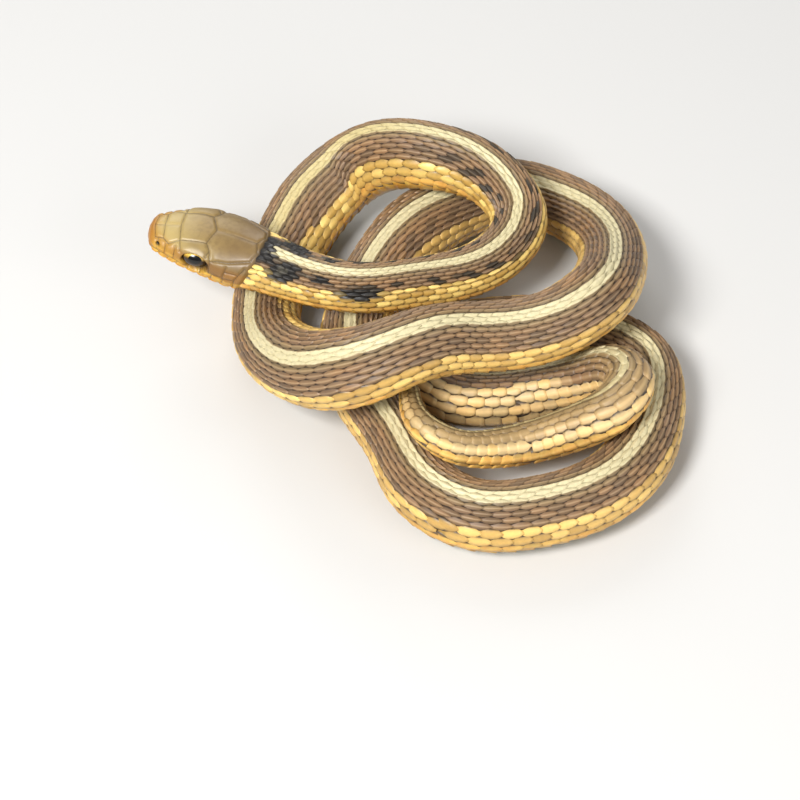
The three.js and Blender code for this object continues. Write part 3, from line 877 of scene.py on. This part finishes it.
def skin_swell(distance, angle, rise, plain):
    """How far the skin stands out at shields and brows or sinks at the mouth and under the scales.

    The second result is each point's distance from the nearest seam.
    """
    on_head = distance < SEAMS_REACH
    seam_line, mouth_line = seam_points()
    seam = np.full(distance.shape, FAR)
    lip = np.full(distance.shape, FAR)
    seam[on_head] = nearest(plain[on_head], seam_line)
    lip[on_head] = nearest(plain[on_head], mouth_line)
    shield = SHIELD_RISE * (1 - np.exp(-(seam / SEAM_WIDTH) ** 2))
    groove = GROOVE_DEPTH * np.exp(-(lip / GROOVE_WIDTH) ** 2)
    start, end = [coat_start(angle) + easing for easing in COAT_EASING]
    covered = smooth(distance, start, end)
    swell = (shield - groove) * (1 - covered) - (SCALE_DEPTH + SKIN_UNDER_ROOTS) * covered
    for sign in (1, -1):
        brow = 1 - smooth(oval_reach(plain, EYE, sign, endless=True), *BROW_EDGE)
        swell += BROW_RISE * brow * smooth(rise, *BROW_HEIGHTS)
    swell *= smooth(distance, 0, SNOUT_EASING)
    return np.maximum(swell, -DEEPEST_SINK * column(GIRTH, distance)), seam


def sink_openings(points):
    """Sinks the eye openings and nostrils into the head, and says how much painted shade each point
    gets in them.
    """
    _, _, _, left = spine.axes(EYE["distance"])
    hollow_shade = np.zeros(len(points))
    for sign in (1, -1):
        opening = 1 - smooth(oval_reach(points, EYE, sign, endless=True), *EYE_HOLE_EDGE)
        points -= left * sign * (opening * EYE_HOLE)[:, None]
        hole = 1 - smooth(oval_reach(points, NOSTRIL, sign), *NOSTRIL_EDGE)
        points -= left * sign * (hole * NOSTRIL_HOLE)[:, None]
        hollow_shade = np.maximum(hollow_shade, np.maximum(hole, opening * EYE_HOLE_SHADE))
    return hollow_shade


def tube_faces(rings):
    """Faces of a closed tube of rings, with a cap at each end."""
    ring = np.arange(rings - 1)[:, None] * SKIN_SIDES
    here = np.arange(SKIN_SIDES)[None, :]
    following = (here + 1) % SKIN_SIDES
    quads = np.stack([ring + here, ring + following, ring + following + SKIN_SIDES,
                      ring + here + SKIN_SIDES], -1).reshape(-1, 4)
    last = (rings - 1) * SKIN_SIDES
    caps = [list(range(SKIN_SIDES))[::-1], [last + k for k in range(SKIN_SIDES)]]
    return quads.tolist() + caps


def add_skin_map(mesh, rings):
    """Unwrap of the skin in bands one above the other."""
    corners = corner_vertices(mesh)
    face_of = np.repeat(np.arange(len(mesh.polygons)), [p.loop_total for p in mesh.polygons])
    first = np.array([p.loop_start for p in mesh.polygons])[face_of]
    per_band = math.ceil((rings - 1) / SKIN_BANDS)
    ring, place = corners // SKIN_SIDES, corners % SKIN_SIDES
    first_ring, first_place = corners[first] // SKIN_SIDES, corners[first] % SKIN_SIDES
    place = np.where((first_place == SKIN_SIDES - 1) & (place == 0), SKIN_SIDES, place)
    band = np.minimum(first_ring, rings - 2) // per_band
    u = (ring - band * per_band) / per_band
    v = (band + BAND_MARGIN + (1 - 2 * BAND_MARGIN) * place / SKIN_SIDES) / SKIN_BANDS
    write_map(mesh, np.stack([u * (1 - 2 * MAP_MARGIN) + MAP_MARGIN, v], -1))


def make_skin():
    """One skin from the snout to the tip of the tail, with the shields, lips and nostrils in it."""
    head = np.arange(HEAD_RINGS_FROM, HEAD_LENGTH, HEAD_RING_STEP)
    body = np.arange(BODY_RINGS_FROM, spine.total - BODY_RINGS_END, BODY_RING_STEP)
    stops = np.concatenate([SNOUT_RINGS, head, body, [spine.total - step for step in TIP_RINGS]])
    angles = FULL_TURN * (np.arange(SKIN_SIDES) + 0.5) / SKIN_SIDES
    distance, angle = [grid.ravel() for grid in np.meshgrid(stops, angles, indexing="ij")]
    _, rise = section(distance, angle, 0)
    swell, seam = skin_swell(distance, angle, rise, surface(distance, angle))
    points = surface(distance, angle, swell)
    hollow_shade = sink_openings(points)
    points[:, 2] = np.maximum(points[:, 2], SKIN_ABOVE_FLOOR)
    row, side = row_place(distance, angle)
    attributes = {"distance": distance, "row": row, "side": side, "seam": seam, "rise": rise,
                  "mouth": rise - mouth_height(distance), "hollow_shade": hollow_shade}
    made = mesh_object("skin", points, tube_faces(len(stops)), attributes, skin_material())
    add_skin_map(made.data, len(stops))
    return made


def ball_faces(rings, sides):
    """Faces of a ball of rings with a point at each end."""
    faces = []
    last = 1 + (rings - 1) * sides
    pairs = [(j, (j + 1) % sides) for j in range(sides)]
    for start in range(1, last - sides, sides):
        faces += [[start + j, start + k, start + sides + k, start + sides + j] for j, k in pairs]
    for j, k in pairs:
        faces.append([0, 1 + k, 1 + j])
        faces.append([last, last - sides + j, last - sides + k])
    return faces


def make_eye(sign, name, look):
    """Oval eyeball with rings round the pupil, looking out of the side of the head."""
    middle, along, back, left = spine.axes(EYE["distance"])
    centre = middle + left * sign * EYE["side"] + back * EYE["back"]
    tilts = np.linspace(0, np.pi, EYE_RINGS + 1)[1:-1]
    turns = FULL_TURN * np.arange(EYE_SIDES) / EYE_SIDES
    tilt, turn = [grid.ravel() for grid in np.meshgrid(tilts, turns, indexing="ij")]
    outward = np.concatenate([[1], np.cos(tilt), [-1]])
    across = np.concatenate([[0], np.sin(tilt) * np.cos(turn), [0]])
    upward = np.concatenate([[0], np.sin(tilt) * np.sin(turn), [0]])
    points = (centre + left * sign * (outward * EYE["deep"])[:, None]
              - along * (across * EYE["long"])[:, None] + back * (upward * EYE["high"])[:, None])
    faces = ball_faces(EYE_RINGS, EYE_SIDES)
    if sign > 0:
        faces = [face[::-1] for face in faces]
    gaze = outward * math.cos(EYE_TILT) + upward * math.sin(EYE_TILT)
    ring = np.where(gaze > 0, np.sqrt(np.clip(1 - gaze ** 2, 0, 1)), 1)
    height = upward * math.cos(EYE_TILT) - outward * math.sin(EYE_TILT)
    return mesh_object(name, points, faces, {"ring": ring, "height": height}, look)


def scale_tree(name, columns, rows):
    """Tree that sets one scale on every point of the coat laid out flat: x along, y across, z out."""
    group = bpy.data.node_groups.new(name, "GeometryNodeTree")
    tree = Tree(group)
    group.interface.new_socket("Coat", in_out="INPUT", socket_type="NodeSocketGeometry")
    for key in KEELED:
        group.interface.new_socket(key, in_out="INPUT", socket_type="NodeSocketFloat")
    group.interface.new_socket("Surface", in_out="INPUT", socket_type="NodeSocketMaterial")
    group.interface.new_socket("Coat", in_out="OUTPUT", socket_type="NodeSocketGeometry")
    entry = group.nodes.new("NodeGroupInput")
    given = {socket.name: Value(tree, socket) for socket in entry.outputs if socket.name}
    grid = tree.add("GeometryNodeMeshGrid", {}, {
        "Size X": 1.0, "Size Y": 2.0, "Vertices X": rows, "Vertices Y": columns})
    split = tree.add("ShaderNodeSeparateXYZ", {}, [tree.add("GeometryNodeInputPosition")])
    reach = split + 0.5
    across = Value(tree, split.socket.node.outputs[1])
    run = (reach * (rows - 1) / (rows - 2)).at_most(1.0)
    size = (abs(across) * (columns - 1) / (columns - 3)).at_most(1.0) ** KEEL_CROWDING
    part = size * across.math("SIGN")
    lance = (1 - (abs(run - WIDEST) / TAPER) ** TAPER_ROUND).at_least(0.0) ** given["Tip"]
    half = given["Blunt"] + (1 - given["Blunt"]) * lance
    skirt = abs(across).math("GREATER_THAN", SKIRT_FROM)
    skirt = skirt.at_least(reach.math("GREATER_THAN", SKIRT_FROM))
    keel = given["Keel"] * size.step(*KEEL_HALF) * run.step(*KEEL_FROM)
    arch = given["Arch"] * (1 - size * size) * half * run.step(*ARCH_FROM)
    height = given["Lift"] * run + arch + keel - skirt * given["Skirt"]
    bow = part * part * given["Bow"]
    place = tree.add("ShaderNodeCombineXYZ", {}, [run - bow, part * half, height])
    shape = tree.add("GeometryNodeSetPosition", {}, {"Geometry": grid, "Position": place})
    for key, field in (("cross", part), ("reach", run)):
        kind = {"data_type": "FLOAT", "domain": "POINT"}
        shape = tree.add("GeometryNodeStoreNamedAttribute", kind, {
            "Geometry": shape, "Name": key, "Value": field})
    sized = tree.add("GeometryNodeInputNamedAttribute", {"data_type": "FLOAT_VECTOR"}, {"Name": "size"})
    placed = tree.add("GeometryNodeInstanceOnPoints", {}, {
        "Points": given["Coat"], "Instance": shape, "Scale": sized})
    real = tree.add("GeometryNodeRealizeInstances", {}, {"Geometry": placed})
    done = tree.add("GeometryNodeSetMaterial", {}, {"Geometry": real, "Material": given["Surface"]})
    tree.add("NodeGroupOutput", {}, [done])
    return group


def grow_scales(made, group, form, look):
    """Runs a scale tree on an object's points, and leaves the result as its plain mesh."""
    modifier = made.modifiers.new("scales", "NODES")
    modifier.node_group = group
    for item in group.interface.items_tree:
        if item.in_out == "INPUT" and item.name in form:
            modifier[item.identifier] = float(form[item.name])
        if item.name == "Surface":
            modifier[item.identifier] = look
    view = bpy.context.evaluated_depsgraph_get()
    grown = made.evaluated_get(view)
    mesh = bpy.data.meshes.new_from_object(grown, preserve_all_data_layers=True, depsgraph=view)
    made.modifiers.clear()
    made.data = mesh
    mesh.name = made.name


def coat_piece(name, roots, group, form, look):
    """Scales on their roots, laid out flat, wrapped round the body, with a bake map."""
    made = mesh_object(name, roots["place"] / MM, [], roots["numbers"], None)
    for key in ("size", "patch"):
        write(made.data, key, roots[key], "FLOAT_VECTOR")
    grow_scales(made, group, form, look)
    mesh = made.data
    flat = read(mesh, "position", 3).astype(float)
    distance = np.clip(flat[:, 0], 0, spine.total - LAST_SCALE)
    places = surface(distance, -flat[:, 1], flat[:, 2] - SCALE_DEPTH)
    places[:, 2] = np.maximum(places[:, 2], SCALES_ABOVE_FLOOR)
    mesh.attributes["position"].data.foreach_set("vector", (places * MM).astype(np.float32).ravel())
    patch = read(mesh, "patch", 3)
    cross, reach = read(mesh, "cross", 1)[:, 0], read(mesh, "reach", 1)[:, 0]
    chart = np.stack([patch[:, 0] + (reach - 0.5) * patch[:, 2] * PATCH_LONG,
                      patch[:, 1] + cross * patch[:, 2] * PATCH_WIDE], -1)
    write_map(mesh, chart[corner_vertices(mesh)])
    for key in ("size", "patch"):
        mesh.attributes.remove(mesh.attributes[key])
    mesh.polygons.foreach_set("use_smooth", [True] * len(mesh.polygons))
    return made


def columns_along():
    """Distances of the scale columns, one belly scute to each."""
    stops = [FIRST_COLUMN]
    while stops[-1] < spine.total - LAST_COLUMN:
        stops.append(stops[-1] + float(column(SPACING, stops[-1])))
    return np.array(stops)


def scale_angles(distance, count, row):
    """Angle of a row's middle from the back, towards its own side, and half the angle of its width."""
    arc = float(back_reach(distance))
    if abs(row) > count:
        angle, half = (math.pi + arc) / 2, (math.pi - arc) / 2
    else:
        angle = arc * row_middle(count, abs(row))
        half = arc * row_shares(count)[abs(row)] * (1 if row == 0 else 0.5)
    return angle if row >= 0 else -angle, half


def scale_roots(start, end, lowest, highest, seed):
    """Roots of the scales between two distances and between two rows above the belly edge.

    Behind the vent there is one more row each side, which meets its fellow under the tail.
    """
    chances = np.random.default_rng(seed)
    found = []
    for index, stop in enumerate(columns_along()):
        spacing = float(column(SPACING, stop))
        count = int(rows_each_side(stop))
        last_row = count + (1 if stop > VENT else 0)
        for row in range(-last_row, last_row + 1):
            distance = stop + (spacing / 2 if row % 2 else 0)
            chance = chances.random()
            in_piece = start <= distance < end and lowest <= count - abs(row) <= highest
            if not in_piece or distance > spine.total - LAST_ROOT:
                continue
            angle, half = scale_angles(distance, count, row)
            if distance >= coat_start(angle) - HIDDEN_ROOT:
                found.append((distance, row, count, angle, half, spacing, chance, index))
    return lay_out(found)


def stretch_at(distance, angle, spacing):
    """How much longer the body's side is than its centre line at an angle."""
    reach = spacing * STRETCH_REACH
    here = surface(distance, angle, -SCALE_DEPTH)
    ahead = surface(np.minimum(distance + reach, spine.total), angle, -SCALE_DEPTH)
    return np.clip(np.linalg.norm(ahead - here, axis=1) / reach, *STRETCH_LIMITS)


def lay_out(found):
    """Places on the flat coat, sizes and map patches of scale roots."""
    distance, row, count, angle, half, spacing, chance, index = np.array(found, float).T
    stretch = stretch_at(distance, angle, spacing)
    length = spacing * (1 - SCALE_STRETCH + SCALE_STRETCH * stretch) * OVERLAP / stretch
    length = np.minimum(length, LONGEST_SCALE * spacing)
    low, high = index.min(), index.max() + 1
    per_band = math.ceil((high - low) / SCALE_BANDS)
    band = (index - low) // per_band
    u = ((index - low) % per_band + 0.5) / per_band
    v = (band + (row + SCALE_LANES / 2) / SCALE_LANES) / SCALE_BANDS
    patch = np.full(len(u), min(1 / per_band, 1 / (SCALE_BANDS * SCALE_LANES)))
    numbers = {"row": row, "side": count - np.abs(row), "distance": distance, "chance": chance}
    return {"place": np.stack([distance, -angle, np.zeros(len(angle))], -1),
            "size": np.stack([length, half * SIDE_OVERLAP, np.ones(len(half))], -1),
            "patch": np.stack([u, v, patch], -1), "numbers": numbers}


def scute_roots():
    """Roots of the belly scutes, one to each column in front of the vent."""
    stops = columns_along()
    stops = stops[stops < VENT]
    count = len(stops)
    under = np.full(count, math.pi)
    spacing = column(SPACING, stops)
    stretch = stretch_at(stops, under, spacing)
    length = spacing * (1 - SCUTE_STRETCH + SCUTE_STRETCH * stretch) * SCUTE_OVERLAP / stretch
    order = np.arange(count)
    per_band = math.ceil(count / SCUTE_BANDS)
    patch = np.stack([(order % per_band + 0.5) / per_band, (order // per_band + 0.5) / SCUTE_BANDS,
                      np.full(count, 1 / per_band)], -1)
    return {"place": np.stack([stops, under, np.zeros(count)], -1),
            "size": np.stack([length, math.pi - back_reach(stops) + SCUTE_TUCK, np.ones(count)], -1),
            "patch": patch, "numbers": {}}


def dress(piece, slot_name, *nodes):
    """Hangs a piece on the body, and hides the nodes that it stands for."""
    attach(piece, "root")
    if nodes:
        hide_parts(*nodes)


def make_coat():
    """Every scale and belly scute, in pieces from the neck to the tip of the tail."""
    scale, scute = scale_tree("scale", *SCALE_GRID), scale_tree("scute", *SCUTE_GRID)
    keeled = scale_material("keeled_scales", keel_light=0.55, gloss=0.0)
    smooth_look = scale_material("smooth_scales", keel_light=0.0, gloss=0.08)
    back = (YELLOW_ROWS + 1, math.inf)
    flank = (-math.inf, YELLOW_ROWS)
    whole = (-math.inf, math.inf)
    pieces = [
        ("neck_scales", (20, 105), back, 2, KEELED, keeled, "body_scales"),
        ("high_coil_scales", (105, 200), back, 3, KEELED, keeled, "body_scales"),
        ("middle_coil_scales", (200, 350), back, 4, KEELED, keeled, "body_scales"),
        ("low_coil_scales", (350, VENT), back, 5, KEELED, keeled, "body_scales"),
        ("flank_scales", (0, VENT), flank, 6, SMOOTH, smooth_look, "body_scales"),
        ("tail_scales", (VENT, math.inf), whole, 7, TAIL, keeled, "tail_scales"),
    ]
    for name, span, rows, seed, form, look, slot_name in pieces:
        dress(coat_piece(name, scale_roots(*span, *rows, seed), scale, form, look), slot_name)
    belly = coat_piece("belly_scutes", scute_roots(), scute, SCUTE, scute_material())
    dress(belly, "body_scales")


def make_snake():
    """Skin, eyes and coat, each with the nodes that it stands for."""
    flesh = [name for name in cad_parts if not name.startswith("eye")]
    dress(make_skin(), "head_shields", *flesh)
    eye_look = eye_material()
    dress(make_eye(1, "left_eye", eye_look), "eye", "eye_left")
    dress(make_eye(-1, "right_eye", eye_look), "eye", "eye_right")
    make_coat()


# Studio: half width and drop of the floor in millimetres, and lamps in metres and watts
FLOOR_HALF, FLOOR_DROP = 3000, 0.01
LAMPS = [
    {"name": "key", "place": (-0.25, -0.35, 0.55), "width": 0.2, "power": 6.0},
    {"name": "fill", "place": (0.5, -0.5, 0.35), "width": 0.5, "power": 2.2},
    {"name": "rim", "place": (-0.1, 0.6, 0.45), "width": 0.4, "power": 2.0},
]
SKY_COLOUR, SKY_STRENGTH = (0.95, 0.97, 1, 1), 0.35

# Camera: angle above the floor, distance from the coils in metres, lens and sensor in millimetres
CAMERA_RISE, CAMERA_REACH = math.radians(52), 0.56
LENS, SENSOR = 122.94, 36


def make_floor():
    far = FLOOR_HALF
    corners = [(x, y, -FLOOR_DROP) for x, y in ((-far, -far), (far, -far), (far, far), (-far, far))]
    mesh_object("floor", corners, [[0, 1, 2, 3]], {}, floor_material())


def make_lamp(name, place, width, power):
    """A soft lamp that points at the middle of the floor."""
    data = bpy.data.lights.new(name, "AREA")
    data.size = width
    data.energy = power
    lamp = bpy.data.objects.new(name, data)
    lamp.location = place
    lamp.rotation_euler = (-Vector(place)).to_track_quat("-Z", "Y").to_euler()
    bpy.context.scene.collection.objects.link(lamp)


def make_stage():
    """Pale floor with soft light from above and the side."""
    make_floor()
    for lamp in LAMPS:
        make_lamp(**lamp)
    world = bpy.data.worlds.new("studio")
    world.use_nodes = True
    sky = world.node_tree.nodes["Background"].inputs
    sky["Color"].default_value = SKY_COLOUR
    sky["Strength"].default_value = SKY_STRENGTH
    bpy.context.scene.world = world
    bpy.context.scene.view_settings.view_transform = "Standard"


def make_camera():
    """The photograph's view, from in front and above."""
    data = bpy.data.cameras.new("camera")
    data.lens = LENS
    data.sensor_width = SENSOR
    camera = bpy.data.objects.new("camera", data)
    away = Vector((0, -math.cos(CAMERA_RISE), math.sin(CAMERA_RISE)))
    camera.location = Vector(CENTRE_SHIFT) * MM + away * CAMERA_REACH
    camera.rotation_euler = (math.pi / 2 - CAMERA_RISE, 0, 0)
    bpy.context.scene.collection.objects.link(camera)
    bpy.context.scene.camera = camera


make_snake()
make_camera()
make_stage()
